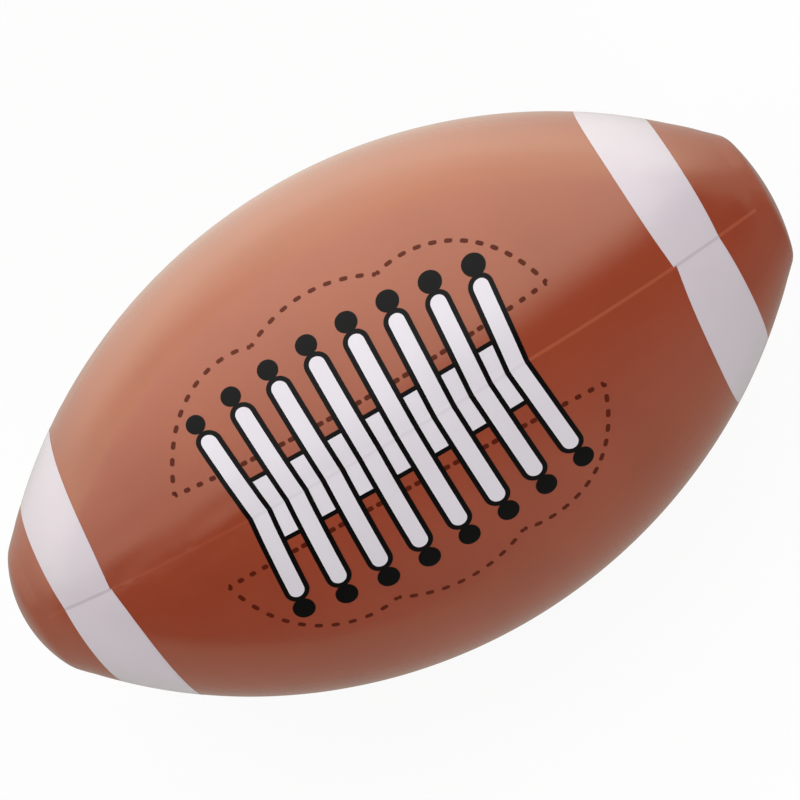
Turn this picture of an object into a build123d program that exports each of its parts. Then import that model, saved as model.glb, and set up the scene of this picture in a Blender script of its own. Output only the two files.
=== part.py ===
from build123d import *
import os
from math import asin, cos, degrees, radians, sin, sqrt

# An inflatable football of printed vinyl film. Four lengthwise panels are lap-welded
# into one air-tight skin, a domed disc closes each nose, and a push-in valve with a
# stopper sits in a lower panel. The long axis is X, the seam through the laces is on
# top at +Z, and the origin is the centre of the ball. All sizes are in millimetres.

# Driving sizes of the skin
ball_length = 340.0
ball_diameter = 198.0
nose_diameter = 54.0
nose_dome_height = 8.0
film = 0.3
seam_lap = 5.0
seam_doubling = 2.0
disc_film = 0.4
disc_lap = 8.0
weld_gap = 0.05
cut_overrun = 5.0

# Driving sizes of the print
ink = 0.15
ink_gap = 0.05
stripe_shift = -4.7
stripe_spacing_share = 0.763
stripe_spacing = stripe_spacing_share * ball_length
stripe_width = 25.0
lace_count = 8
lace_shift = -5.6
lace_pitch = 16.3
lace_width = 6.6
lace_length = 78.2
lace_end_drop = 5.1
lace_outline = 1.5
eyelet_diameter = 8.4
eyelet_offset = 5.0
cross_bar_length = 23.0
seam_pitch_share = 0.94

# Driving sizes of the valve, from its bore outwards
bore_diameter = 5.0
mouth_step = 0.4
stem_wall = 1.6
stem_travel = 12.0
stem_foot_width = 1.2
stem_foot_thickness = 1.0
stem_neck = 1.4
head_overhang = 0.9
head_thickness = 1.8
head_sink = 0.3
head_rounding = 0.5
plug_depth = 3.2
plug_clearance = 0.1
plug_floor_gap = 0.4
seat_gap = 0.05
strap_length = 2.6
strap_width = 4.0
strap_thickness = 0.6
ear_thickness = 1.2
tab_length = 1.8
tab_width = 4.0
tab_rounding = 0.8
moat_clearance = 2.8
skirt_wall = 0.6
skirt_top_depth = 0.8
skirt_rim_height = 1.8
skirt_clearance = 0.15
hole_clearance = 0.1
flange_width = 6.0
flange_thickness = 0.8
flap_margin = 1.0
flap_thickness = 0.6
flap_tab_width = 3.0
flap_hinge_offset = 0.8

# The ball's profile is one circular arc from nose to nose
ball_radius = ball_diameter / 2
nose_radius = nose_diameter / 2
half_length = ball_length / 2
shoulder = half_length - nose_dome_height
profile_drop = ball_radius - nose_radius
arc_radius = (profile_drop**2 + shoulder**2) / (2 * profile_drop)
arc_depth = arc_radius - ball_radius
panel_count = 4
panel_angle = 360 / panel_count
end_angle = asin(shoulder / arc_radius)
lap_angle = degrees(seam_lap / ball_radius)
doubling_angle = degrees(seam_doubling / ball_radius)

# The valve's radii and levels; levels count outwards from the ball's crest at the valve
valve_angle = 225
bore_radius = bore_diameter / 2
mouth_radius = bore_radius + mouth_step
stem_radius = mouth_radius + stem_wall
head_radius = stem_radius + head_overhang
hinge_reach = head_radius + strap_length / 2
ear_reach = head_radius + strap_length
skirt_inner_radius = ear_reach + moat_clearance
skirt_radius = skirt_inner_radius + skirt_wall
hole_radius = skirt_radius + hole_clearance
flange_radius = hole_radius + flange_width
head_base_level = -head_sink - head_thickness
rim_level = head_base_level - seat_gap
foot_level = -skirt_top_depth - stem_travel
stem_end_level = foot_level - stem_foot_thickness - stem_neck
mouth_depth = plug_depth + plug_floor_gap
plug_radius = mouth_radius - plug_clearance
plug_reach = sqrt((hinge_reach + mouth_radius) ** 2 - plug_depth**2)
plug_tip_radius = plug_reach - hinge_reach - plug_clearance
flap_radius = bore_radius + flap_margin
flap_hinge_reach = flap_radius + flap_hinge_offset
flap_level = stem_end_level - seat_gap


def film_angle(along):
    """The angle on the profile's arc at this distance along the ball's axis."""
    return asin(along / arc_radius)


def film_point(lift, angle):
    """A point of the profile, lifted off the film's outer face."""
    reach = arc_radius + lift
    return (reach * sin(angle), reach * cos(angle) - arc_depth)


def film_strip(lift, thickness, first, last):
    """Draws a strip that follows the profile from one angle to another."""
    low = lift - thickness
    middle = (first + last) / 2
    with BuildLine() as outline:
        ThreePointArc(film_point(lift, first), film_point(lift, middle), film_point(lift, last))
        Line(film_point(lift, last), film_point(low, last))
        ThreePointArc(film_point(low, last), film_point(low, middle), film_point(low, first))
        Line(film_point(low, first), film_point(lift, first))
    make_face(outline.edges())


def profile_plane(angle):
    """The half plane through the ball's axis at this angle, counted from +Y towards +Z."""
    turn = radians(angle)
    return Plane((0, 0, 0), x_dir=(1, 0, 0), z_dir=(0, -sin(turn), cos(turn)))


def keep(piece, name):
    """Labels a finished sub-part and writes it under its own name."""
    piece.part.label = name
    export_step(piece.part, f"parts/{name}.step")
    size = piece.part.bounding_box().size
    print(f"{name}: {len(piece.solids())} solids, {size.X:.1f} x {size.Y:.1f} x {size.Z:.1f} mm")


os.makedirs("parts", exist_ok=True)

# The valve's own planes: one lies flat on the ball, the other holds the valve's axis
valve_turn = radians(valve_angle)
valve_out = Vector(0, cos(valve_turn), sin(valve_turn))
valve_side = valve_out.cross(Vector(1, 0, 0))
valve_centre = valve_out * ball_radius
valve_flat = Plane(valve_centre, x_dir=(1, 0, 0), z_dir=valve_out)
valve_section = Plane(valve_centre, x_dir=(1, 0, 0), z_dir=-valve_side)
valve_axis = Axis(valve_centre, valve_out)

# Panels: each carries a doubled edge and a strip that runs under the next panel's film
panel_starts = {
    "panel_upper_back": 0,
    "panel_upper_front": panel_angle,
    "panel_lower_front": 2 * panel_angle,
    "panel_lower_back": 3 * panel_angle,
}
for panel_name, start in panel_starts.items():
    seam = start + panel_angle
    with BuildPart() as panel:
        with BuildSketch(profile_plane(start)):
            film_strip(0, film, -end_angle, end_angle)
        revolve(axis=Axis.X, revolution_arc=panel_angle)
        with BuildSketch(profile_plane(seam - doubling_angle)):
            film_strip(0, 2 * film + weld_gap, -end_angle, end_angle)
        revolve(axis=Axis.X, revolution_arc=doubling_angle)
        with BuildSketch(profile_plane(seam)):
            film_strip(-film - weld_gap, film, -end_angle, end_angle)
        revolve(axis=Axis.X, revolution_arc=lap_angle)
        if start < valve_angle < seam:
            with BuildSketch(valve_flat):
                Circle(hole_radius)
            extrude(amount=ball_radius / 2, both=True, mode=Mode.SUBTRACT)
    keep(panel, panel_name)

# End discs: a flat welding lap that follows the panels, then a dome over the nose
disc_edge_angle = end_angle - disc_lap / arc_radius


def dome_middle(corner, tip):
    """The point halfway along a dome's arc, whose centre is on the ball's axis."""
    rise = tip - corner[0]
    dome_radius = (corner[1] ** 2 + rise**2) / (2 * rise)
    half_turn = asin(corner[1] / dome_radius) / 2
    return (tip - dome_radius + dome_radius * cos(half_turn), dome_radius * sin(half_turn))


def disc_face(lift, tip):
    """The points of one face of an end disc, from its welded edge to the tip of its dome."""
    corner = film_point(lift, end_angle)
    lap_middle = film_point(lift, (disc_edge_angle + end_angle) / 2)
    return [film_point(lift, disc_edge_angle), lap_middle, corner, dome_middle(corner, tip), (tip, 0)]


for disc_name, side in (("end_disc_left", -1), ("end_disc_right", 1)):
    outside = [(side * x, y) for x, y in disc_face(weld_gap + disc_film, half_length)]
    inside = [(side * x, y) for x, y in disc_face(weld_gap, half_length - disc_film)]
    with BuildPart() as end_disc:
        with BuildSketch(profile_plane(panel_angle)):
            with BuildLine():
                ThreePointArc(*outside[:3])
                ThreePointArc(*outside[2:])
                Line(outside[-1], inside[-1])
                ThreePointArc(*inside[:1:-1])
                ThreePointArc(*inside[2::-1])
                Line(inside[0], outside[0])
            make_face()
        revolve(axis=Axis.X)
    keep(end_disc, disc_name)

# Printed stripes: one white ring near each nose
for stripe_name, side in (("stripe_print_left", -1), ("stripe_print_right", 1)):
    stripe_middle = stripe_shift + side * stripe_spacing / 2
    first = film_angle(stripe_middle - stripe_width / 2)
    last = film_angle(stripe_middle + stripe_width / 2)
    with BuildPart() as stripe:
        with BuildSketch(profile_plane(0)):
            film_strip(ink_gap + ink, ink, first, last)
        revolve(axis=Axis.X)
    keep(stripe, stripe_name)

# Printed laces: bars kinked at the seam, where the inflated film draws the print together
lace_middle = (lace_count - 1) / 2
lace_bars = []
for index in range(lace_count):
    place = index - lace_middle
    tip = lace_length / 2 - lace_end_drop * (place / lace_middle) ** 2
    kink_x = lace_shift + place * lace_pitch * seam_pitch_share
    lace_bars.append((kink_x, lace_shift + place * lace_pitch, tip))
cross_band = (lace_count - 1) * lace_pitch * seam_pitch_share
print_angle = 2 * degrees(lace_length / ball_diameter)


def draw_bars(width, mode=Mode.ADD):
    """Draws the long bars as rounded slots of this width, kinked at the seam."""
    for kink_x, end_x, tip in lace_bars:
        for side in (-1, 1):
            end = Vector(end_x, side * (tip - lace_width / 2))
            kink = Vector(kink_x, 0)
            SlotCenterPoint((end + kink) / 2, end, width, mode=mode)


def ink_layer(level):
    """Cuts the raised shapes of the open part down to one thin layer of ink on the ball."""
    lift = level * (ink + ink_gap)
    with BuildSketch(profile_plane(panel_angle - print_angle)) as layer:
        film_strip(lift, ink, -end_angle, end_angle)
    revolve(layer.sketch, axis=Axis.X, revolution_arc=2 * print_angle, mode=Mode.INTERSECT)


with BuildPart() as lace_white:
    with BuildSketch():
        with Locations((lace_shift, 0)):
            Rectangle(cross_band, cross_bar_length)
        draw_bars(lace_width)
    extrude(amount=ball_radius + cut_overrun)
    ink_layer(1)
keep(lace_white, "lace_print_white")

with BuildPart() as lace_black:
    with BuildSketch():
        with Locations((lace_shift, 0)):
            Rectangle(cross_band, cross_bar_length + 2 * lace_outline)
            Rectangle(cross_band, cross_bar_length, mode=Mode.SUBTRACT)
        draw_bars(lace_width + 2 * lace_outline)
        for kink_x, end_x, tip in lace_bars:
            with Locations((end_x, tip + eyelet_offset), (end_x, -tip - eyelet_offset)):
                Circle(eyelet_diameter / 2)
        draw_bars(lace_width, Mode.SUBTRACT)
    extrude(amount=ball_radius + cut_overrun)
    ink_layer(2)
keep(lace_black, "lace_print_black")

# Valve flange: a ring welded to the inside of the lower front panel
flange_reach = film_angle(flange_radius + flange_width)
flange_turn = degrees((flange_radius + flange_width) / ball_radius)
with BuildPart() as valve_flange:
    with BuildSketch(profile_plane(valve_angle - flange_turn)):
        film_strip(-film - weld_gap, flange_thickness, -flange_reach, flange_reach)
    revolve(axis=Axis.X, revolution_arc=2 * flange_turn)
    with BuildSketch(valve_flat):
        Circle(flange_radius)
        Circle(hole_radius, mode=Mode.SUBTRACT)
    extrude(amount=flange_radius, both=True, mode=Mode.INTERSECT)
keep(valve_flange, "valve_flange")

# Valve skirt: a thin funnel that folds out when the stem is pulled
skirt_foot_radius = stem_radius + skirt_clearance
skirt_shoulder_level = -skirt_top_depth - skirt_rim_height
skirt_foot_level = foot_level + seat_gap
with BuildPart() as valve_skirt:
    with BuildSketch(valve_section):
        with BuildLine():
            Polyline(
                (skirt_inner_radius, -skirt_top_depth),
                (skirt_radius, -skirt_top_depth),
                (skirt_radius, skirt_shoulder_level),
                (skirt_foot_radius + skirt_wall, skirt_foot_level),
                (skirt_foot_radius, skirt_foot_level),
                (skirt_inner_radius, skirt_shoulder_level + skirt_wall),
                close=True,
            )
        make_face()
    revolve(axis=valve_axis)
keep(valve_skirt, "valve_skirt")

# Valve stem: a tube with a foot for the skirt and an ear for the stopper's strap
with BuildPart() as valve_stem:
    with BuildSketch(valve_section):
        with BuildLine():
            Polyline(
                (mouth_radius, rim_level),
                (stem_radius, rim_level),
                (stem_radius, foot_level),
                (stem_radius + stem_foot_width, foot_level),
                (stem_radius + stem_foot_width, foot_level - stem_foot_thickness),
                (stem_radius, foot_level - stem_foot_thickness),
                (stem_radius, stem_end_level),
                (bore_radius, stem_end_level),
                (bore_radius, rim_level - mouth_depth),
                (mouth_radius, rim_level - mouth_depth),
                close=True,
            )
        make_face()
    revolve(axis=valve_axis)
    ear_root = mouth_radius + stem_wall / 2
    with BuildSketch(valve_flat.offset(rim_level)):
        with Locations(((ear_root + ear_reach) / 2, 0)):
            Rectangle(ear_reach - ear_root, strap_width)
    extrude(amount=-ear_thickness)
keep(valve_stem, "valve_stem")

# Stopper: a tapered plug under a round head with a lifting tab
with BuildPart() as valve_stopper:
    with BuildSketch(valve_flat.offset(head_base_level)):
        Circle(head_radius)
        with Locations((-head_radius, 0)):
            RectangleRounded(2 * tab_length, tab_width, tab_rounding)
    extrude(amount=head_thickness)
    top_edges = valve_stopper.faces().sort_by(valve_axis)[-1].edges()
    fillet(top_edges, radius=head_rounding)
    with BuildSketch(valve_section):
        with BuildLine():
            Polyline(
                (0, head_base_level),
                (plug_radius, head_base_level),
                (plug_tip_radius, rim_level - plug_depth),
                (0, rim_level - plug_depth),
                close=True,
            )
        make_face()
    revolve(axis=valve_axis)
keep(valve_stopper, "valve_stopper")

# Strap: a short flat band from the ear to the stopper's head
with BuildPart() as stopper_strap:
    with BuildSketch(valve_flat.offset(head_base_level)):
        with Locations(((head_radius + ear_reach) / 2, 0)):
            Rectangle(strap_length, strap_width)
        Circle(head_radius + seat_gap, mode=Mode.SUBTRACT)
    extrude(amount=strap_thickness)
keep(stopper_strap, "stopper_strap")

# Check flap: a disc that closes the stem's inner end and swings into the ball
with BuildPart() as check_flap:
    with BuildSketch(valve_flat.offset(flap_level)):
        Circle(flap_radius)
        with Locations((-flap_hinge_reach / 2, 0)):
            Rectangle(flap_hinge_reach, flap_tab_width)
    extrude(amount=-flap_thickness)
keep(check_flap, "check_flap")

# The places that the joints and the mount turn on
for place_name, radius, level in (
    ("stopper hinge", hinge_reach, rim_level),
    ("flap hinge", -flap_hinge_reach, flap_level),
    ("bore's inner end", 0, stem_end_level),
    ("bore's outer end", 0, rim_level - mouth_depth),
):
    spot = valve_flat.from_local_coords((radius, 0, level))
    print(f"{place_name}: {spot.X:.3f} {spot.Y:.3f} {spot.Z:.3f}")
print(f"valve axis: {valve_out.Y:.6f} {valve_out.Z:.6f}")
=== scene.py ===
# %% [markdown]
# # A blow-up football of printed vinyl
# The ball is four long panels of glossy film, welded edge to edge, with a round disc over each nose and a
# push-in valve underneath. Its stripes, laces and stitches are print. Each step says what a piece is on the
# real ball, how it could be made, and why it is made this way here.

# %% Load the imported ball
import math

import bpy
from mathutils import Matrix, Vector
from mathutils.geometry import interpolate_bezier


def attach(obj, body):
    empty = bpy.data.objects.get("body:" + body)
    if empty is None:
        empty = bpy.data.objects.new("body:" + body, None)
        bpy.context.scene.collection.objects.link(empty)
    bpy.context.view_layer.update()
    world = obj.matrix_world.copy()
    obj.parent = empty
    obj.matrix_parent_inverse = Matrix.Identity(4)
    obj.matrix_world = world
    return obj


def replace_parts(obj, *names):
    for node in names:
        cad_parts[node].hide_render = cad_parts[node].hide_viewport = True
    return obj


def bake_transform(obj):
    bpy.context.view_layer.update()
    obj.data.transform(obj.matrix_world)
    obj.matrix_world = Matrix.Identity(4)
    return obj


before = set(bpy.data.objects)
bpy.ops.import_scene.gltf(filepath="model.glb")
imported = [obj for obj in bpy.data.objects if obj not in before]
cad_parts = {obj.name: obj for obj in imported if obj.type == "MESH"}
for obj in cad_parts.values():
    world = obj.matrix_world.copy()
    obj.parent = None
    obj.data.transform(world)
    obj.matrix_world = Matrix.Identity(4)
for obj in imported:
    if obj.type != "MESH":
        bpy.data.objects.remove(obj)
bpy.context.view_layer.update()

# %% [markdown]
# ## The curve of the ball
# Seen from the side, the ball is one circular arc from nose to nose, turned about its long axis. A sphere
# could be scaled to look like it, but then nothing else would know where the film is. A function that gives
# the point at a place along the ball and a turn about it serves every piece: panels, stripes and laces.

# %% The arc from nose to nose
MM = 0.001
half_length = 170 * MM
shoulder = 162 * MM
belly = 99 * MM
nose = 27 * MM
arc_radius = ((belly - nose) ** 2 + shoulder**2) / (2 * (belly - nose))
arc_depth = arc_radius - belly
end_turn = math.asin(shoulder / arc_radius)
quarter = math.pi / 2


def girth(x):
    """The ball's radius at this place along it."""
    return math.sqrt(arc_radius**2 - x**2) - arc_depth


print(f"arc radius {arc_radius / MM:.2f} mm, girth at the stripes {girth(125 * MM) / MM:.1f} mm")

# %% [markdown]
# ## The relief of the welds
# Where two panels meet, the weld is a stiff narrow bead, the film beside it is drawn in to a shallow valley,
# and short puckers stand across it. A bump map could fake that, but the long reflections on a glossy ball
# show every slope, so the relief is part of the shape. The print follows it too, because it is on the film.

# %% Bead, valley and puckers
bead_height, bead_reach = 0.12 * MM, 0.8 * MM
valley_depth, valley_reach = 0.40 * MM, 8 * MM
pucker_height, pucker_reach = 0.05 * MM, 6 * MM
pucker_waves = 9.3 * MM, 1.55 * MM, 1.05 * MM
slack_height, slack_reach = 0.11 * MM, 30 * MM
slack_left, slack_right, slack_fade = -135 * MM, -45 * MM, 25 * MM
relief_end, relief_fade = 153 * MM, 8 * MM


def ease(share):
    """A smooth step from 0 to 1."""
    share = min(max(share, 0.0), 1.0)
    return share * share * (3 - 2 * share)


def puckers(x, side):
    """Uneven ripples along a weld, different on its two sides."""
    swell, ripple, fine = (x / wave for wave in pucker_waves)
    slow = 0.55 + 0.45 * math.sin(swell + 2.1 * side)
    quick = math.sin(ripple + 1.3 * side) + 0.6 * math.sin(fine - 0.8 * side)
    return slow * quick


def slack(x, off):
    """Long soft waves beside a weld, where the film of the left part is a little loose."""
    loose = ease((slack_right - x) / slack_fade) * ease((x - slack_left) / slack_fade)
    fading = math.exp(-((off / slack_reach) ** 2)) * (0.65 + 0.35 * math.sin(x / (7 * MM) + off / (9 * MM)))
    return slack_height * loose * fading * math.sin(off / (2.0 * MM) + x / (20 * MM))


def relief(x, turn):
    """How far the film stands off its plain arc at this place."""
    off = ((turn + quarter / 2) % quarter - quarter / 2) * girth(x)
    away = abs(off)
    shown = ease((relief_end - abs(x)) / relief_fade)
    bead_share = 0.3 + 0.7 * ease((x + 60 * MM) / (80 * MM))
    bead = bead_height * math.exp(-((off / bead_reach) ** 2)) * bead_share
    valley = valley_depth * math.exp(-away / valley_reach)
    gather = pucker_height * math.exp(-away / pucker_reach) * puckers(x, 1 if off > 0 else -1)
    return shown * (bead - valley + gather * ease(away / (1.5 * MM)) + slack(x, off))


def on_skin(x, turn, lift=0.0):
    """The point of the film at x and turn, lifted off its outer face. Turn 0 is +Y and a quarter is +Z."""
    lean = math.asin(x / arc_radius)
    reach = arc_radius + lift + relief(x, turn)
    radius = reach * math.cos(lean) - arc_depth
    return Vector((reach * math.sin(lean), radius * math.cos(turn), radius * math.sin(turn)))


print(f"film at the lace weld stands {relief(0, quarter) / MM:.2f} mm off the arc")

# %% [markdown]
# ## Shader maths in plain Python
# A finish mixes noise and distances. Placing each Math node by hand hides the idea, so a small class wraps a
# socket and lets an expression such as 1 - mask add its own nodes.

# %% A wrapped socket


class Wire:
    """A socket in a node tree. Operators on it add Math nodes."""

    def __init__(self, tree, socket=None):
        self.tree, self.socket = tree, socket

    def feed(self, node, values):
        """Sets or links a node's input sockets."""
        for key, value in values.items():
            if isinstance(value, Wire):
                self.tree.links.new(value.socket, node.inputs[key])
            else:
                node.inputs[key].default_value = value

    def add(self, kind, settings, values, output=0):
        """Adds a node of any type: its settings first, then its sockets."""
        node = self.tree.nodes.new(kind)
        for key, value in settings.items():
            setattr(node, key, value)
        self.feed(node, values)
        return Wire(self.tree, node.outputs[output])

    def other(self, output):
        """Another output of the same node."""
        return Wire(self.tree, self.socket.node.outputs[output])

    def sum_with(self, operation, first, second=0.0):
        return self.add("ShaderNodeMath", {"operation": operation}, {0: first, 1: second})

    def __add__(self, value):
        return self.sum_with("ADD", self, value)

    def __sub__(self, value):
        return self.sum_with("SUBTRACT", self, value)

    def __rsub__(self, value):
        return self.sum_with("SUBTRACT", value, self)

    def __mul__(self, value):
        return self.sum_with("MULTIPLY", self, value)

    def __abs__(self):
        return self.sum_with("ABSOLUTE", self)

    __radd__ = __add__
    __rmul__ = __mul__

    def least(self, value):
        return self.sum_with("MINIMUM", self, value)

    def most(self, value):
        return self.sum_with("MAXIMUM", self, value)

    def step(self, low, high):
        """A smooth step of this value, from 0 at low to 1 at high."""
        limits = {"Value": self, "From Min": low, "From Max": high, "To Min": 0.0, "To Max": 1.0}
        return self.add("ShaderNodeMapRange", {"interpolation_type": "SMOOTHSTEP"}, limits)

    def mixed(self, first, second):
        """A colour between two, with this value as the share of the second."""
        return self.add("ShaderNodeMix", {"data_type": "RGBA"}, {0: self, 6: first, 7: second}, 2)


def paint(red, green, blue):
    """A screen colour of 0 to 255 as a shader's linear colour."""
    share = [c / 255 for c in (red, green, blue)]
    return (*[c / 12.92 if c <= 0.04045 else ((c + 0.055) / 1.055) ** 2.4 for c in share], 1.0)


print("a screen grey of 128 is", round(paint(128, 128, 128)[0], 3), "in a shader")

# %% [markdown]
# ## Glossy printed film
# Brown and white are the film's own gloss: a clear sheen with a slight haze and faint ripples. The black and
# the stitches are a later ink that dries almost matt, so they stay dark where the brown catches the light.
# One function makes all of them, from noise in the object's own place, so haze and ripples run on from one
# colour to the next. Along the weld the colour turns a little paler on the brown and black and greyer on the
# white, and on the brown more to the right than to the left. The index is set above bare vinyl's: the sheen
# then shows over the middle of the ball in a room that isn't so bright that the ball's rim, where any gloss
# turns into a mirror, would wash out.

# %% The film's finish


def film_finish(name, ink, worn_ink, weld_tint, weld_shares, gloss, sheen_tint):
    """An ink on film, a little uneven, with another tint along the welds. A gloss of 0.5 is bare film."""
    weld_left, weld_right = weld_shares
    material = bpy.data.materials.new(name)
    material.use_nodes = True
    tree = material.node_tree
    start = Wire(tree)
    place = start.add("ShaderNodeTexCoord", {}, {}, "Object")
    along = start.add("ShaderNodeSeparateXYZ", {}, {"Vector": place}, "X")
    weld = abs(along.other("Y")).least(abs(along.other("Z")))
    on_panels = 1 - abs(along).step(154.5 * MM, 155.5 * MM)
    strength = weld_left + (weld_right - weld_left) * along.step(-90 * MM, 40 * MM)
    line = (1 - weld.step(0.25 * MM, 0.9 * MM)) * on_panels * strength
    cloud = start.add("ShaderNodeTexNoise", {}, {"Vector": place, "Scale": 24.0, "Detail": 4.0})
    haze = start.add("ShaderNodeTexNoise", {}, {"Vector": place, "Scale": 70.0, "Detail": 3.0})
    ripple = start.add("ShaderNodeTexNoise", {}, {"Vector": place, "Scale": 190.0, "Detail": 2.0})
    colour = line.mixed(cloud.step(0.3, 0.75).mixed(ink, worn_ink), weld_tint)
    rise = start.add("ShaderNodeBump", {}, {"Height": ripple, "Strength": 0.12, "Distance": 0.2 * MM})
    surface = tree.nodes["Principled BSDF"]
    start.feed(surface, {
        "Base Color": colour,
        "Roughness": 0.15 + 0.07 * haze,
        "Normal": rise,
        "IOR": 1.79,
        "Specular IOR Level": gloss,
        "Specular Tint": sheen_tint,
    })
    return material


warm, plain = (1.0, 0.86, 0.65, 1.0), (1.0, 1.0, 1.0, 1.0)
brown_film = film_finish(
    "brown_film", paint(148, 62, 38), paint(142, 58, 35), paint(178, 92, 62), (0.15, 0.5), 0.5, warm
)
white_film = film_finish(
    "white_film", paint(206, 196, 202), paint(201, 191, 198), paint(164, 154, 160), (0.5, 0.45), 0.3, plain
)
lace_white = film_finish(
    "lace_white", paint(219, 214, 220), paint(214, 207, 214), paint(186, 176, 182), (0.2, 0.2), 0.25, plain
)
black_ink = film_finish(
    "black_ink", paint(9, 8, 7), paint(12, 11, 10), paint(22, 19, 17), (0.4, 0.4), 0.06, plain
)
stitch_ink = film_finish(
    "stitch_ink", paint(80, 24, 10), paint(88, 29, 13), paint(88, 29, 13), (0.3, 0.3), 0.1, warm
)
print("film finishes:", [m.name for m in (brown_film, white_film, lace_white, black_ink, stitch_ink)])

# %% [markdown]
# ## Laying a sheet on the ball
# Every printed shape and panel is a sheet of points given as place, turn and lift. Projecting flat art with a
# shrinkwrap would also work, but it slides near the noses. Working out each point keeps edges exact, and one
# helper turns the faces outwards and lets the piece ride on its body.

# %% A sheet from places on the film


def new_piece(name, points, faces, finish, body):
    """A smooth mesh object with one finish, riding on a body if one is named."""
    mesh = bpy.data.meshes.new(name)
    mesh.from_pydata([tuple(p) for p in points], [], faces)
    mesh.polygons.foreach_set("use_smooth", [True] * len(mesh.polygons))
    mesh.materials.append(finish)
    piece = bpy.data.objects.new(name, mesh)
    bpy.context.scene.collection.objects.link(piece)
    if body:
        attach(piece, body)
    print(f"{name}: {len(points)} points, {len(faces)} faces")
    return piece


def faced_out(points, faces):
    """The faces, each turned so that it looks away from the ball's middle."""
    turned = []
    for face in faces:
        a, b, c = (points[i] for i in face[:3])
        outward = (b - a).cross(c - a).dot(a)
        turned.append(face if outward >= 0 else face[::-1])
    return turned


def grid_faces(rows, columns, first=0):
    """The quads of a grid of points that are listed row by row."""
    return [
        (first + i * columns + j, first + i * columns + j + 1,
         first + (i + 1) * columns + j + 1, first + (i + 1) * columns + j)
        for i in range(rows - 1)
        for j in range(columns - 1)
    ]


def skin_piece(name, places, faces, finish):
    """A piece that lies on the film and rides with it."""
    points = [on_skin(*place) for place in places]
    return new_piece(name, points, faced_out(points, faces), finish, "skin")


print("a grid of 3 by 4 points has", len(grid_faces(3, 4)), "faces")

# %% [markdown]
# ## The four panels
# Each panel is a quarter of the skin. A plain even grid would miss the narrow bead, so the columns crowd
# together beside the welds and open out over the plain film between them.

# %% Panel grids
first_step, step_growth, widest_step = 0.25, 0.2, 2.2
fine_reach, open_reach, open_step = 32, 54, 4


def spread(reach):
    """Distances from a weld in mm, close together at first and then evenly apart."""
    steps = [0.0]
    while steps[-1] < reach:
        steps.append(steps[-1] + min(first_step + step_growth * steps[-1], widest_step))
    return steps


def panel_turns(middle_step):
    """Turns across one panel, close together at its two edges. The middle's step is in mm."""
    steps = spread(fine_reach)
    half = belly * quarter / 2 / MM
    while steps[-1] < open_reach:
        steps.append(steps[-1] + open_step)
    while steps[-1] + 1.5 * middle_step < half:
        steps.append(steps[-1] + middle_step)
    edge = [s * MM / belly for s in steps]
    return edge + [quarter / 2] + [quarter - s for s in reversed(edge)]


row_count = 361
just_inside = 0.99999
row_places = [
    arc_radius * math.sin(end_turn * (2 * i / (row_count - 1) - 1)) * just_inside for i in range(row_count)
]


def plain_panel(name, first_turn):
    """A quarter of the skin, from this turn on."""
    turns = [first_turn + t for t in panel_turns(open_step)]
    places = [(x, t, 0.0) for x in row_places for t in turns]
    piece = skin_piece(name, places, grid_faces(row_count, len(turns)), brown_film)
    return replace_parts(piece, name)


plain_panel("panel_upper_back", 0)
plain_panel("panel_upper_front", quarter)
plain_panel("panel_lower_back", 3 * quarter)

# %% [markdown]
# ## The panel with the valve's hole
# The lower front panel has a round hole. A boolean cut would leave long thin faces that spoil the gloss.
# Here a square window is left out of the grid, and rings of faces run from its edge to the round hole.

# %% A round hole in a grid
hole_radius = 11.5 * MM
hole_turn = 2.5 * quarter
window = 17 * MM
film = 0.3 * MM
close_step = 1.2
ring_count = 8


def holed_panel(name, first_turn):
    """A panel with a window in its grid, filled in by rings down to a round hole through the film."""
    turns = [first_turn + t for t in panel_turns(close_step)]
    columns = len(turns)
    places = [(x, t, 0.0) for x in row_places for t in turns]
    rows = [i for i, x in enumerate(row_places) if abs(x) <= window]
    cols = [j for j, t in enumerate(turns) if abs(t - hole_turn) * belly <= window]
    top, bottom, left, right = rows[0], rows[-1], cols[0], cols[-1]
    faces = [
        face for face in grid_faces(row_count, columns)
        if not (top <= face[0] // columns < bottom and left <= face[0] % columns < right)
    ]
    rim = [(top, j) for j in cols] + [(i, right) for i in rows[1:]]
    rim += [(bottom, j) for j in cols[-2::-1]] + [(i, left) for i in rows[-2:0:-1]]
    ring = [i * columns + j for i, j in rim]
    flat_rings = [(k / ring_count, 0) for k in range(1, ring_count + 1)]
    for share, lift in flat_rings + [(1, -film / 2), (1, -film)]:
        last, ring = ring, []
        for i, j in rim:
            x, side = row_places[i], girth(row_places[i]) * math.sin(turns[j] - hole_turn)
            reach = hole_radius / math.hypot(x, side)
            x, side = (v * (1 - share + share * reach) for v in (x, side))
            ring.append(len(places))
            places.append((x, hole_turn + math.asin(side / girth(x)), lift))
        faces += [(last[k], last[k - 1], ring[k - 1], ring[k]) for k in range(len(rim))]
    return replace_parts(skin_piece(name, places, faces, brown_film), name)


holed_panel("panel_lower_front", 2 * quarter)

# %% [markdown]
# ## The end discs
# A disc closes each nose. Its edge laps over the panels by 10 mm and is welded there, and its middle stands
# out as a low dome, flatter on the right end. A squashed sphere has no lap, so a profile is worked out and
# turned: the lap, which runs out thin at its edge, the dome, and between them a soft bend where the film is
# blown round.

# %% Profile of lap and dome
disc_lift = 0.3 * MM
disc_lap = 10 * MM
edge_sink = 0.12
bend = 2 * MM
lap_steps, soft_steps, dome_steps = 12, 7, 24


def lap_point(distance, lift):
    """A point of the lap, this far along it from the panels' ends."""
    lean = end_turn - distance / arc_radius
    reach = arc_radius + lift
    return Vector((reach * math.sin(lean), reach * math.cos(lean) - arc_depth))


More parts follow.
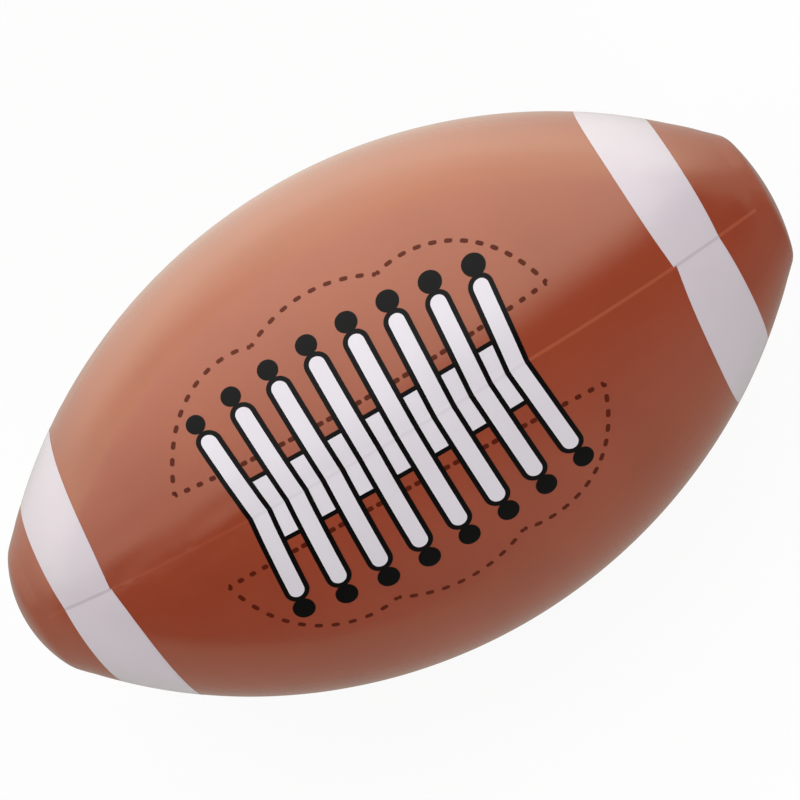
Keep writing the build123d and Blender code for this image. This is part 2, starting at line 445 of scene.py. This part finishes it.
def disc_curve(tip):
    """The disc's profile, from the edge of its lap to just before its tip."""
    corner = lap_point(0, disc_lift)
    rise = tip - corner.x
    radius = (corner.y**2 + rise**2) / (2 * rise)
    widest = math.asin(corner.y / radius) - bend / radius
    lap = []
    for k in range(lap_steps + 1):
        share = k / lap_steps
        lift = disc_lift * ((1 + edge_sink) * share - edge_sink)
        lap.append(lap_point(disc_lap - share * (disc_lap - bend), lift))
    dome = []
    for k in range(dome_steps):
        turn = widest * (1 - k / dome_steps)
        dome.append(Vector((tip - radius * (1 - math.cos(turn)), radius * math.sin(turn))))
    soft = []
    for k in range(1, soft_steps):
        t = k / soft_steps
        soft.append(lap[-1] * (1 - t) ** 2 + corner * 2 * t * (1 - t) + dome[0] * t**2)
    return lap + soft + dome


print("points in a disc's profile:", len(disc_curve(half_length)))

# %% [markdown]
# ## Folds in the lap
# Where the flat disc is welded down over the round end, its spare film gathers in small folds. A bump map
# could hint at them, but the long reflections on the nose would stay too smooth. Two waves of different
# count push the turned profile in and out by less than a tenth of a millimetre, and fade towards the lap's
# edge and the dome.

# %% Turned discs
segments = 160
fold_height, fold_row, fold_spread = 0.04 * MM, 8, 4
right_flatter = 3.5 * MM


def end_disc(name, side, tip):
    """A disc turned from its profile about the long axis, with its folds."""
    curve = disc_curve(tip)
    points = []
    for k, spot in enumerate(curve):
        gathered = fold_height * math.exp(-(((k - fold_row) / fold_spread) ** 2))
        for s in range(segments):
            turn = 2 * math.pi * s / segments
            fold = math.sin(19 * turn + 1.1) + 0.7 * math.sin(31 * turn + 2.3)
            radius = spot.y + gathered * fold
            points.append(Vector((side * spot.x, radius * math.cos(turn), radius * math.sin(turn))))
    faces = []
    for k in range(len(curve) - 1):
        for s in range(segments):
            t = (s + 1) % segments
            faces.append((k * segments + s, k * segments + t, (k + 1) * segments + t, (k + 1) * segments + s))
    points.append(Vector((side * tip, 0, 0)))
    middle, last = len(points) - 1, (len(curve) - 1) * segments
    faces += [(last + s, last + (s + 1) % segments, middle) for s in range(segments)]
    piece = new_piece(name, points, faced_out(points, faces), brown_film, "skin")
    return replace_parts(piece, name)


end_disc("end_disc_left", -1, half_length)
end_disc("end_disc_right", 1, half_length - right_flatter)

# %% [markdown]
# ## The white stripes
# A ring of white ink runs round the ball near each nose. Each panel is printed flat before it is welded, so
# the ring is four strips: a weld draws their edges along the ball, and they don't quite meet there. They are
# thin sheets, a hair above the brown, because a sheet keeps a clean edge where a painted mask would blur.

# %% Rings that bow at the welds
stripe_lift = 0.06 * MM
stripe_steps = 26
pull_reach = 24 * MM


def add_grid(places, faces, rows):
    """Adds a grid of places, with its quads, to the lists of a piece."""
    faces += grid_faces(len(rows), len(rows[0]), len(places))
    places += [place for row in rows for place in row]


def stripe(name, inner, outer, back_pulls, front_pulls, outer_pulls):
    """A ring of four strips. Pulls are for every weld, and more for the side welds."""
    places, faces = [], []
    for panel in range(4):
        weld_pull, side_pull = front_pulls if panel in (1, 2) else back_pulls
        rows = []
        for step in range(stripe_steps + 1):
            row = []
            for across in panel_turns(open_step):
                off = min(across, quarter - across) * belly
                drawn = math.exp(-((off / pull_reach) ** 1.2))
                turn = panel * quarter + across
                start = inner + weld_pull * drawn + side_pull * math.cos(turn) ** 8
                end = outer + outer_pulls[0] * drawn + outer_pulls[1] * max(math.cos(turn), 0) ** 8
                row.append((start + (end - start) * step / stripe_steps, turn, stripe_lift))
            rows.append(row)
        add_grid(places, faces, rows)
    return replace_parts(skin_piece(name, places, faces, white_film), name)


stripe("stripe_print_left", -121.8 * MM, -147.0 * MM, (-2.8 * MM, 1.6 * MM), (-2.3 * MM, 0), (0.2 * MM, 0))
right_pulls = (2.6 * MM, 1.4 * MM), (3.8 * MM, 2.1 * MM), (-0.7 * MM, 1.5 * MM)
stripe("stripe_print_right", 112.5 * MM, 137.1 * MM, *right_pulls)

# %% [markdown]
# ## The printed laces
# Eight bars cross the seam, each with a black outline and a round black eyelet past both tips, over a ladder
# of short white bars. They kink at the seam, where the weld gathers the film. Each layer of ink is a sheet of
# its own, stacked in the order of printing, so that the outlines stay crisp.

# %% Where the bars lie beside the seam
lace_middle, lace_pitch, seam_share = -5.5 * MM, 16.1 * MM, 0.94
bar_count = 8
last_place = (bar_count - 1) / 2
bar_width, outline = 6.1 * MM, 1.9 * MM
longest_bar, bar_bow = 40.5, 5.8
least_gap = 0.4 * MM
layers = {"stitches": 0.04, "ladder_black": 0.05, "ladder_white": 0.09, "bar_black": 0.13, "bar_white": 0.17}


def beside_seam(x, off, layer):
    """A place on the film, this far along the ball and this far round it from the seam in the laces."""
    return (x, quarter + off / girth(x), layers[layer] * MM)


def rows_out(reach):
    """Distances from the seam out to a reach, close together at the seam."""
    return [s * MM for s in spread(reach / MM) if s * MM < reach - least_gap] + [reach]


def off_rows(back, front):
    """Distances from the seam over both of its sides."""
    return [-s for s in rows_out(back)[:0:-1]] + rows_out(front)


def bar_tip(place, side):
    """How far a bar reaches from the seam, to the back (side below 0) or to the front."""
    bowed = longest_bar - bar_bow * (place / last_place) ** 2
    return (bowed - 0.3 if side < 0 else bowed + 0.2 * max(place, 0) ** 2) * MM


print(f"the middle bars reach {bar_tip(0.5, -1) / MM:.1f} mm to the back")

# %% [markdown]
# ## Bars, eyelets and ladder
# A bar is a flat band with round ends, an eyelet a round spot, and the ladder one wide band behind the bars.
# Filled curves would draw the same outlines, but they have no points inside the edge, so they would cut
# through the round film. Grids and rings of places bend with it.

# %% Shapes of the ink
cap_steps, half_columns = 7, 4
thinnest = 0.02 * MM
spot_sides, spot_rings = 36, 4
ladder_steps = 120


def add_bar(places, faces, place, grow, layer):
    """One kinked bar with round ends, made wider all round by grow."""
    kink, end = lace_middle + place * lace_pitch * seam_share, lace_middle + place * lace_pitch
    half = bar_width / 2 + grow
    back, front = (bar_tip(place, side) + grow - half for side in (-1, 1))
    cap_turns = [k * quarter / cap_steps for k in range(1, cap_steps + 1)]
    cap = [(half * math.sin(turn), half * math.cos(turn)) for turn in cap_turns]
    spans = [(-back - s, wide) for s, wide in reversed(cap)]
    spans += [(off, half) for off in off_rows(back, front)]
    spans += [(front + s, wide) for s, wide in cap]
    columns = range(-half_columns, half_columns + 1)
    rows = []
    for off, wide in spans:
        middle = kink + (end - kink) * abs(off) / bar_tip(place, off)
        wide = max(wide, thinnest)
        rows.append([beside_seam(middle + wide * c / half_columns, off, layer) for c in columns])
    add_grid(places, faces, rows)


def add_disc(places, faces, x, off, radius, layer):
    """A round spot of ink."""
    first = len(places)
    places.append(beside_seam(x, off, layer))
    for ring in range(1, spot_rings + 1):
        reach = radius * ring / spot_rings
        for s in range(spot_sides):
            turn = 2 * math.pi * s / spot_sides
            places.append(beside_seam(x + reach * math.cos(turn), off + reach * math.sin(turn), layer))
    for s in range(spot_sides):
        t = (s + 1) % spot_sides
        faces.append((first, first + 1 + s, first + 1 + t))
        for ring in range(spot_rings - 1):
            low = first + 1 + ring * spot_sides
            high = low + spot_sides
            faces.append((low + s, high + s, high + t, low + t))


def add_ladder(places, faces, reach, layer):
    """The band behind the bars, between the first bar and the last."""
    half = last_place * lace_pitch * seam_share
    columns = [lace_middle - half + 2 * half * k / ladder_steps for k in range(ladder_steps + 1)]
    rows = [[beside_seam(x, off, layer) for x in columns] for off in off_rows(reach, reach)]
    add_grid(places, faces, rows)


print("ink layers lifted by, in mm:", layers)

# %% [markdown]
# ## Both inks of the laces
# On the press, each ink is one pass over the whole film. Every bar and eyelet could be an object of its own,
# but they never move apart, so all the white is one piece and all the black another. A black shape is its
# white one made wider all round, and the eyelets change in size a little from end to end, as in the photo.

# %% White and black ink of the laces
white_places, white_faces, black_places, black_faces = [], [], [], []
ladder_black, ladder_white = 13.1 * MM, 11.4 * MM
add_ladder(black_places, black_faces, ladder_black, "ladder_black")
add_ladder(white_places, white_faces, ladder_white, "ladder_white")
eyelet_pitch, eyelet_radius, eyelet_gap = 16.45 * MM, 4.15 * MM, 5.5 * MM
eyelet_growth = {-1: 1 / 36, 1: -1 / 120}
for index in range(bar_count):
    place = index - last_place
    add_bar(black_places, black_faces, place, outline, "bar_black")
    add_bar(white_places, white_faces, place, 0.0, "bar_white")
    for side in (-1, 1):
        spot = lace_middle + place * eyelet_pitch, side * (bar_tip(place, side) + eyelet_gap)
        radius = eyelet_radius * (1 + eyelet_growth[side] * place)
        add_disc(black_places, black_faces, *spot, radius, "bar_black")
black_laces = skin_piece("lace_print_black", black_places, black_faces, black_ink)
white_laces = skin_piece("lace_print_white", white_places, white_faces, lace_white)
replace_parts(black_laces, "lace_print_black")
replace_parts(white_laces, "lace_print_white")

# %% [markdown]
# ## The printed stitches
# A dashed dark line frames the laces above and below the seam, like the edge of a sewn patch with three
# lobes. The line could be a chain of many points, but a few ends and handles are easier to move and stay
# smooth between, so each stretch is one Bezier curve: two lobes, the crown between them and the long hem.

# %% Curves of the patch's edge
patch_middle = -5.7 * MM
patch_skew = {-1: 0.0, 1: 0.02}
crown = ((-26, 56), (-8.6, 66.5), (8.6, 66.5), (26, 56))
lobe = ((26, 56), (41.4, 61.9), (67.8, 55.2), (77.2, 20.3))
left_lobes = {-1: ((-26, 56), (-41.4, 61.9), (-64.2, 53.5), (-77.2, 20.3)), 1: [(-x, off) for x, off in lobe]}
hem = ((-77.2, 20.3), (-25.6, 16.9), (25.6, 16.9), (77.2, 20.3))
curve_points = 60


def patch_line(side, shape):
    """A smooth stretch of the patch's edge: two ends and two handles, in mm from the patch's middle."""
    knots = [Vector((patch_middle + x * MM, side * (off + patch_skew[side] * x) * MM)) for x, off in shape]
    return interpolate_bezier(*knots, curve_points)


def length_of(path):
    """The length of a path of points."""
    return sum((b - a).length for a, b in zip(path, path[1:]))


def walk(path, distance):
    """The point and the heading this far along a path."""
    for start, end in zip(path, path[1:]):
        stretch = end - start
        if distance <= stretch.length or end is path[-1]:
            return start + stretch * (distance / stretch.length), stretch.normalized()
        distance -= stretch.length


for name, shape in (("lobe", lobe), ("crown", crown), ("hem", hem)):
    print(f"{name} of the patch: {length_of(patch_line(1, shape)) / MM:.0f} mm long")

# %% [markdown]
# ## Dashes along the curves
# A dash texture would stretch with its path, so each dash is a small sheet with rounded ends, set out along
# the curves. Where two curves meet, in a corner or a notch, their last dashes join in a bent one. Along the
# straight hem, two dashes show between each pair of bars.

# %% Dashes of dark ink
dash_width, dash_taper, dash_steps = 1.75 * MM, 0.45, 6
edge_dash, hem_dash = 3.1 * MM, 2.5 * MM
corner_pitch, pair_half, hem_spread = 5.3 * MM, 1.9 * MM, 0.025
stitch_places, stitch_faces = [], []


def sew(path, middles, dash_length):
    """Sets a dash at each of these distances along a path, cut off at the path's ends."""
    for middle in middles:
        begin, end = max(middle - dash_length / 2, 0), min(middle + dash_length / 2, length_of(path))
        rows = []
        for step in range(dash_steps + 1):
            spot, heading = walk(path, begin + (end - begin) * step / dash_steps)
            across = Vector((-heading.y, heading.x))
            half = across * (dash_width / 2 * (1 - dash_taper * abs(2 * step / dash_steps - 1) ** 6))
            rows.append([beside_seam(*(spot + half * c), "stitches") for c in (-1, -0.5, 0, 0.5, 1)])
        add_grid(stitch_places, stitch_faces, rows)


for side in (-1, 1):
    for shape, pitch in ((lobe, 5.7), (crown, 6.2), (left_lobes[side], 6.2)):
        edge = patch_line(side, shape)
        count = round(length_of(edge) / (pitch * MM))
        sew(edge, [length_of(edge) * k / count for k in range(count + 1)], edge_dash)
    edge = patch_line(side, hem)
    ends = [k * corner_pitch for k in range(4)]
    gaps = [
        lace_middle - edge[0].x + k * lace_pitch * (seam_share + hem_spread) + half_gap
        for k in range(-3, 4)
        for half_gap in (-pair_half, pair_half)
    ]
    sew(edge, ends + gaps + [length_of(edge) - d for d in ends], hem_dash)
skin_piece("stitch_print", stitch_places, stitch_faces, stitch_ink)

# %% [markdown]
# ## The valve
# The valve is moulded from soft milky vinyl, cloudier and less shiny than the film. Its stem, stopper, flange
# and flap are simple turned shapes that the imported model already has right, so they keep their shape and
# take a new finish: light goes a little way in, and a fine grain breaks the gloss.

# %% Milky moulded vinyl
milky = bpy.data.materials.new("milky_vinyl")
milky.use_nodes = True
milky_start = Wire(milky.node_tree)
milky_place = milky_start.add("ShaderNodeTexCoord", {}, {}, "Object")
milky_cloud = milky_start.add("ShaderNodeTexNoise", {}, {"Vector": milky_place, "Scale": 260.0})
milky_grain = milky_start.add("ShaderNodeTexNoise", {}, {"Vector": milky_place, "Scale": 1500.0})
milky_bump = {"Height": milky_grain, "Strength": 0.15, "Distance": 0.1 * MM}
milky_rise = milky_start.add("ShaderNodeBump", {}, milky_bump)
milky_start.feed(milky.node_tree.nodes["Principled BSDF"], {
    "Base Color": milky_cloud.mixed(paint(226, 226, 220), paint(206, 208, 204)),
    "Roughness": 0.24 + 0.12 * milky_cloud,
    "Normal": milky_rise,
    "IOR": 1.52,
    "Transmission Weight": 0.2,
    "Subsurface Weight": 0.15,
    "Subsurface Radius": (0.002, 0.002, 0.0018),
})
for name in ("valve_flange", "valve_stem", "valve_stopper", "check_flap"):
    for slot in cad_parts[name].material_slots:
        slot.material = milky
    print(name, "takes the milky vinyl")

# %% [markdown]
# ## The folding skirt
# A thin funnel joins the stem to the panel. When the stem is pulled out it turns flat, and when the stem is
# pushed in it hangs inside the ball. Here it is a fine lathed sheet that runs from the skin at its rim to the
# stem at its foot.

# %% Funnel between panel and stem
valve_out = Vector((0, -math.sqrt(0.5), -math.sqrt(0.5)))
valve_side = valve_out.cross(Vector((1, 0, 0)))
valve_top = valve_out * belly


def valve_point(radius, level, turn):
    """A point round the valve's axis. Levels count outwards from the ball's crest."""
    flat = Vector((1, 0, 0)) * math.cos(turn) + valve_side * math.sin(turn)
    return valve_top + valve_out * level + flat * radius


wall_steps, turns_round = 18, 96
rim_out, rim_in, foot_out, foot_in = 11.4, 10.8, 5.25, 4.65
wall_top, foot_level = -2.6, -12.75


def wall(start, end):
    """Points down a straight wall of the funnel, each a radius and a level in mm."""
    return [tuple(a + (b - a) * k / wall_steps for a, b in zip(start, end)) for k in range(wall_steps + 1)]


funnel = [(rim_out, -0.8), (rim_out, -1.7)]
funnel += wall((rim_out, wall_top), (foot_out, foot_level))
funnel += wall((foot_in, foot_level), (rim_in, -2.0))
funnel += [(rim_in, -1.4), (rim_in, -0.8)]
skirt_points = [
    valve_point(radius * MM, level * MM, 2 * math.pi * s / turns_round)
    for radius, level in funnel
    for s in range(turns_round)
]
skirt_faces = []
for k in range(len(funnel)):
    after = (k + 1) % len(funnel)
    for s in range(turns_round):
        t = (s + 1) % turns_round
        skirt_faces.append(tuple(a * turns_round + b for a, b in ((k, s), (k, t), (after, t), (after, s))))
skirt = new_piece("valve_skirt_film", skirt_points, skirt_faces, milky, None)
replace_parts(skirt, "valve_skirt")
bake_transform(skirt)

# %% [markdown]
# ## The stopper's strap
# A short flat band keeps the stopper on the stem and bends when it opens. A plain box could only kink along
# one line, so this one has many rows along its length.

# %% Bending band
strap_steps = 16
strap_root, strap_length, strap_half = 5.3, 2.7, 2.0
strap_under, strap_top, strap_bow = -2.1, -1.5, 0.08
strap_points = []
for k in range(strap_steps + 1):
    reach = (strap_root + strap_length * k / strap_steps) * MM
    under = strap_under * MM
    top = strap_top * MM + strap_bow * MM * math.sin(math.pi * k / strap_steps)
    for across, level in ((-1, under), (1, under), (1, top), (-1, top)):
        beside_axis = valve_top + Vector((reach, 0, 0)) + valve_side * (across * strap_half * MM)
        strap_points.append(beside_axis + valve_out * level)
last = 4 * strap_steps
strap_faces = [(3, 2, 1, 0), (last, last + 1, last + 2, last + 3)]
for k in range(strap_steps):
    for c in range(4):
        after = (c + 1) % 4
        strap_faces.append((4 * k + c, 4 * k + after, 4 * k + 4 + after, 4 * k + 4 + c))
strap = new_piece("stopper_strap_band", strap_points, strap_faces, milky, None)
strap.data.polygons.foreach_set("use_smooth", [False] * len(strap.data.polygons))
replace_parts(strap, "stopper_strap")
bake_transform(strap)

# %% [markdown]
# ## The white floor
# The ball lies on white paper. Lamps strong enough to turn the paper white would flood the ball too, so the
# paper glows by itself at plain white for the camera, and a tenth of it stays matt to take the ball's shadow.

# %% White floor
floor_mesh = bpy.data.meshes.new("floor")
floor_half, floor_level = 4.0, -belly - 0.3 * MM
corners = ((-1, -1), (1, -1), (1, 1), (-1, 1))
floor_points = [(x * floor_half, y * floor_half, floor_level) for x, y in corners]
floor_mesh.from_pydata(floor_points, [], [(0, 1, 2, 3)])
floor = bpy.data.objects.new("floor", floor_mesh)
bpy.context.scene.collection.objects.link(floor)
paper = bpy.data.materials.new("floor_paper")
paper.use_nodes = True
floor_mesh.materials.append(paper)
paper_start = Wire(paper.node_tree)
paper_cloud = paper_start.add("ShaderNodeTexNoise", {}, {"Scale": 3.0})
paper_start.feed(paper.node_tree.nodes["Principled BSDF"], {
    "Base Color": paper_cloud.mixed(paint(246, 246, 246), paint(242, 242, 242)),
    "Roughness": 0.9,
})
print("floor at", round(floor_level / MM, 1), "mm")

# %% [markdown]
# ## The floor in the gloss
# Glossy film mirrors the paper along the ball's rim. In the photo that sheen is broad and warm on the upper
# side and weak on the lower one and on the right nose. More lamps could light the paper unevenly, but they
# would light the ball as well, so what the gloss sees of the paper has a brightness of its own.

# %% Brightness of the paper
ray = paper_start.add("ShaderNodeLightPath", {}, {}, "Is Camera Ray")
seen = ray.most(ray.other("Is Glossy Ray")).most(ray.other("Is Transmission Ray"))
where = paper_start.add("ShaderNodeTexCoord", {}, {}, "Object")
floor_x = paper_start.add("ShaderNodeSeparateXYZ", {}, {"Vector": where}, "X")
beside, behind = floor_x.least(0.4).most(-0.4), floor_x.other("Y")
# Painted light: the glow that the gloss sees on the paper is a painted pool of light to the north, with
# painted shade to the south and east.
north_share = behind.step(0.0, 0.33) * (1 - 0.9 * (floor_x - 1.5 * behind).step(0.0, 0.5))
south_east = (floor_x + behind).step(0.04, 0.28) * (1 - behind.step(-0.1, 0.05))
north_glow = 2.17 + 0.9 * beside - 2.6 * beside * beside
far_glow = 0.2 - 0.45 * beside
mirrored = 0.38 - 0.24 * south_east + north_glow * north_share + far_glow * behind.step(0.4, 2.5)
warm_shares = {"Red": 1.0, "Green": 1.0, "Blue": 0.86}
channels = {key: ray + (1 - ray) * mirrored * share for key, share in warm_shares.items()}
bright = paper_start.add("ShaderNodeCombineColor", {}, channels)
glow = paper_start.add("ShaderNodeEmission", {}, {"Color": bright, "Strength": 1.0})
matt = Wire(paper.node_tree, paper.node_tree.nodes["Principled BSDF"].outputs[0])
laid = paper_start.add("ShaderNodeMixShader", {}, {0: seen * 0.9, 1: matt, 2: glow})
paper_start.feed(paper.node_tree.nodes["Material Output"], {"Surface": laid})
print("floor paper has", len(paper.node_tree.nodes), "nodes")

# %% [markdown]
# ## The soft light
# A wide soft light stands to the north of the ball, with a dim room on the other side and a dark gap
# overhead. A lamp would show a hard edge in the gloss, so the light is painted into the world as a smooth
# band, with one level for what lights the film and another for what the gloss mirrors.

# %% Soft light in the world
room = bpy.data.worlds.new("soft_room")
bpy.context.scene.world = room
room.use_nodes = True
room_start = Wire(room.node_tree)
toward = room_start.add("ShaderNodeTexCoord", {}, {}, "Generated")
east = room_start.add("ShaderNodeSeparateXYZ", {}, {"Vector": toward}, "X")
north, up = east.other("Y"), east.other("Z")
tilt = 0.995 * north + 0.028 * up - 0.155 * east - 3.0 * (east - 0.9).most(0.0)
lit = tilt.step(-0.03, 0.32)
south = (-1.0 * north).most(0.0)
lighting = 0.14 + 0.25 * south + lit * (1.7 + 0.4 * east)
dim_room = south * (0.33 + 0.33 * east - 2.0 * (east - 0.8).most(0.0))
band = lit * (1.25 + 0.485 * east + tilt * tilt)
mirroring = 0.05 + dim_room + band
look = room_start.add("ShaderNodeLightPath", {}, {}, "Is Camera Ray")
clear, gloss_ray = look.most(look.other("Is Transmission Ray")), look.other("Is Glossy Ray")
shown = clear + (1 - clear) * (lighting + gloss_ray * (mirroring - lighting))
room_start.feed(room.node_tree.nodes["Background"], {"Color": shown, "Strength": 1.0})
print("soft room has", len(room.node_tree.nodes), "nodes")

# %% [markdown]
# ## The fill lamp
# With the band alone, the side away from it would be too dark. A brighter room would also dull the dark
# parts of the gloss, so one large lamp fills that side, and it is left out of the reflections.

# %% A large lamp for the shaded side
fill_data = bpy.data.lights.new("fill", "AREA")
fill_data.shape, fill_data.size, fill_data.energy = "DISK", 1.4, 9.2
fill = bpy.data.objects.new("fill", fill_data)
bpy.context.scene.collection.objects.link(fill)
fill.location = (0.15, -1.42, 0.72)
fill.rotation_mode = "QUATERNION"
fill.rotation_quaternion = (-fill.location).to_track_quat("-Z", "Y")
fill.visible_glossy = False
print("fill lamp", round(fill.location.length, 2), "m from the ball")

# %% [markdown]
# ## The camera
# The photograph looks down on the laces, with the ball turned by about 30 degrees in the picture. A camera
# could be moved by hand until it fits. Here its axes come from three angles, the lean across the ball, the
# tilt along it and the roll, so that one of them can be corrected without losing the others.

# %% Camera at the photograph's angle
lean, roll, tilt_x = math.radians(5.8), math.radians(29.93), math.radians(2.56)
near = Vector((0, math.sin(lean), math.cos(lean)))
across_ball = Vector((0, -math.cos(lean), math.sin(lean)))
toward_camera = Vector((1, 0, 0)) * math.sin(tilt_x) + near * math.cos(tilt_x)
along_image = Vector((1, 0, 0)) * math.cos(tilt_x) - near * math.sin(tilt_x)
right = along_image * math.cos(roll) + across_ball * math.sin(roll)
upward = along_image * math.sin(roll) - across_ball * math.cos(roll)
camera_distance, pixel = 0.945, 0.394 * MM
camera_data = bpy.data.cameras.new("camera")
camera_data.lens, camera_data.sensor_width = 108.0, 36.0
camera = bpy.data.objects.new("camera", camera_data)
bpy.context.scene.collection.objects.link(camera)
camera_spot = toward_camera * camera_distance + right * (1.5 * pixel) + upward * (4.5 * pixel)
camera.matrix_world = Matrix(
    [[right[k], upward[k], toward_camera[k], camera_spot[k]] for k in range(3)] + [[0, 0, 0, 1]]
)
bpy.context.scene.camera = camera
bpy.context.scene.view_settings.view_transform = "Standard"
print("camera at", [round(v, 3) for v in camera_spot])
